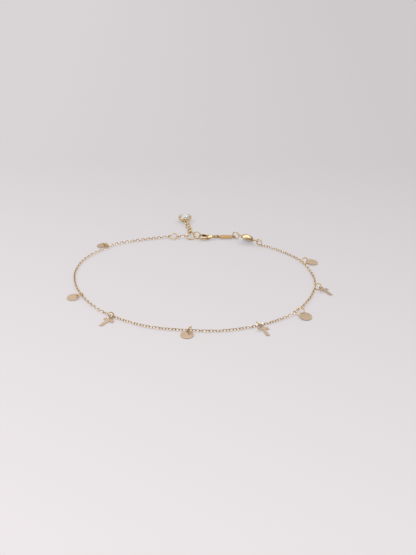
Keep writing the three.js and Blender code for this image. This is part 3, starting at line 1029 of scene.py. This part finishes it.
def clasp_body():
    body = draw_out("clasp_claw", CLAW, 8, 2)
    start_fresh()
    bpy.ops.mesh.primitive_torus_add(
        major_radius=TAIL_EYE_RADIUS,
        minor_radius=TAIL_EYE_WIRE,
        major_segments=36,
        minor_segments=12,
        location=TAIL,
    )
    cut_or_join(body, bpy.context.object, "UNION")
    drill(body, TAIL_EYE_RADIUS - TAIL_EYE_WIRE, DRILL_LENGTH, TAIL)
    start_fresh()
    slot_middle = ((SLOT_FROM + SLOT_TO) / 2, (SLOT_FLOOR + SLOT_TOP) / 2, 0)
    bpy.ops.mesh.primitive_cube_add(size=1, location=slot_middle)
    slot = bpy.context.object
    slot.scale = (SLOT_TO - SLOT_FROM, SLOT_TOP - SLOT_FLOOR, SLOT_WIDTH)
    bpy.ops.object.transform_apply()
    cut_or_join(body, slot, "DIFFERENCE")
    return settle(body, "clasp_claw")


claw = clasp_body()
claw.data.transform(clasp_matrix)
smooth(claw, 35)
apply_modifier(claw, "WEIGHTED_NORMAL", keep_sharp=True)
dress(claw, "root", "polished_gold", clasp_gold, "clasp_body")
print("claw:", len(claw.data.polygons), "faces, box",
      [round(v / MM, 2) for v in (*claw.bound_box[0], *claw.bound_box[6])])

# %% The lever and its pin
PIN_RADIUS = 0.24 * MM
PIN_LENGTH = 1.34 * MM
PIN_ROUNDED = 0.07 * MM
# From the nose, which closes on the claw's tip, back over the pin to the thumb piece.
LEVER = [
    (-1.66, 0.80, 0, 0.50, 0.85), (-1.20, 0.76, 0, 0.70, 1.20), (-0.70, 0.70, 0, 0.86, 1.30),
    (-0.10, 0.64, 0, 0.94, 1.20), (0.36, 0.62, 0, 1.00, 0.48), (0.90, 0.62, 0, 1.50, 0.48),
    (1.30, 0.50, 0, 1.60, 0.48), (1.70, 0.26, 0, 1.30, 0.48), (2.08, 0.10, 0, 0.70, 0.46),
]

lever = draw_out("clasp_thumb_lever", LEVER, 8, 2)
lever.data.transform(clasp_matrix)
smooth(lever, 60)
dress(lever, "lever", "polished_gold", clasp_gold, "clasp_lever")

pin = rod(PIN_RADIUS, PIN_LENGTH, PIVOT, sides=24)
settle(pin, "clasp_rivet")
smooth(pin, 30)
tumble(pin, PIN_ROUNDED, 3)
pin.data.transform(clasp_matrix)
dress(pin, "root", "polished_gold", polished_gold, "clasp_pin")
print("lever box", [round(v / MM, 2) for v in (*lever.bound_box[0], *lever.bound_box[6])])

# %% [markdown]
# ## Floor, sky and lights
# Polished gold shows the room around it. A room that is bright overhead, dim at the horizon and
# dimmer behind the viewer gives it both its pale highlights and its brown darks.

# %% The floor
def falloff(nodes, links, coordinate, start, end, low, high):
    """Carries a place along the floor, in metres, to a tone."""
    span = nodes.new("ShaderNodeMapRange")
    span.inputs["From Min"].default_value = start
    span.inputs["From Max"].default_value = end
    span.inputs["To Min"].default_value = low
    span.inputs["To Max"].default_value = high
    links.new(coordinate, span.inputs["Value"])
    return span.outputs["Result"]


def scaled_by_painted_falloff(nodes, links, tone, colour):
    shade = nodes.new("ShaderNodeVectorMath")
    shade.operation = "SCALE"
    shade.inputs[0].default_value = colour
    links.new(tone, shade.inputs["Scale"])
    return shade.outputs["Vector"]


def floor_finish():
    """White acrylic with a painted glow, which keeps shadows faint. Its colour and glow fall off
    backwards and to the right, as painted light falloff.
    """
    material, nodes, links, shader = new_finish("pale acrylic floor")
    shader.inputs["Roughness"].default_value = 0.9
    shader.inputs["Specular IOR Level"].default_value = 0.1
    where = nodes.new("ShaderNodeTexCoord")
    split = nodes.new("ShaderNodeSeparateXYZ")
    links.new(where.outputs["Object"], split.inputs["Vector"])
    # Painted light falloff: lighter near the viewer and to the left, darker far back and to the
    # right.
    painted_falloff_near_to_far = falloff(nodes, links, split.outputs["Y"], -0.14, 0.105, 1.20, 0.93)
    painted_falloff_left_to_right = falloff(nodes, links, split.outputs["X"], -0.08, 0.09, 1.02, 0.912)
    both = nodes.new("ShaderNodeMath")
    both.operation = "MULTIPLY"
    links.new(painted_falloff_near_to_far, both.inputs[0])
    links.new(painted_falloff_left_to_right, both.inputs[1])
    tone = both.outputs["Value"]
    links.new(scaled_by_painted_falloff(nodes, links, tone, (0.259, 0.2475, 0.2495)), shader.inputs["Base Color"])
    # Painted glow: the floor glows with the same falloff, which thins every shadow on it.
    links.new(scaled_by_painted_falloff(nodes, links, tone, (0.431, 0.4125, 0.419)), shader.inputs["Emission Color"])
    shader.inputs["Emission Strength"].default_value = 1
    return material


start_fresh()
bpy.ops.mesh.primitive_plane_add(size=6, location=(0, 0, 0))
floor = bpy.context.object
floor.name = "floor"
floor.data.materials.append(floor_finish())

# %% The sky
def room_light():
    """A dome, dim at the horizon and bright overhead, with a dimmer side behind the viewer."""
    world = bpy.data.worlds.new("studio dome")
    bpy.context.scene.world = world
    world.use_nodes = True
    nodes, links = world.node_tree.nodes, world.node_tree.links
    where = nodes.new("ShaderNodeTexCoord")
    split = nodes.new("ShaderNodeSeparateXYZ")
    links.new(where.outputs["Generated"], split.inputs["Vector"])
    height = falloff(nodes, links, split.outputs["Z"], 0.1, 1.0, 0.34, 1.75)
    towards = nodes.new("ShaderNodeVectorMath")
    towards.operation = "DOT_PRODUCT"
    towards.inputs[1].default_value = Vector((0.15, -0.8, 0.5)).normalized()
    links.new(where.outputs["Generated"], towards.inputs[0])
    dimmer = falloff(nodes, links, towards.outputs["Value"], 0.50, 0.85, 1.0, 0.40)
    level = nodes.new("ShaderNodeMath")
    level.operation = "MULTIPLY"
    links.new(height, level.inputs[0])
    links.new(dimmer, level.inputs[1])
    background = nodes["Background"]
    background.inputs["Color"].default_value = (1.0, 0.97, 0.975, 1)
    links.new(level.outputs["Value"], background.inputs["Strength"])


room_light()

# %% Soft lights
def softbox(name, at, size, power):
    start_fresh()
    bpy.ops.object.light_add(type="AREA", location=at)
    light = bpy.context.object
    light.name = name
    light.data.shape = "DISK"
    light.data.size = size
    light.data.energy = power
    light.rotation_euler = (AIM - Vector(at)).to_track_quat("-Z", "Y").to_euler()
    return light


softbox("key", (-0.5, 0.25, 0.7), 0.25, 0.6)
softbox("fill", (0.5, 0.1, 0.8), 0.3, 0.4)
print("lit by a dome and two soft lights")
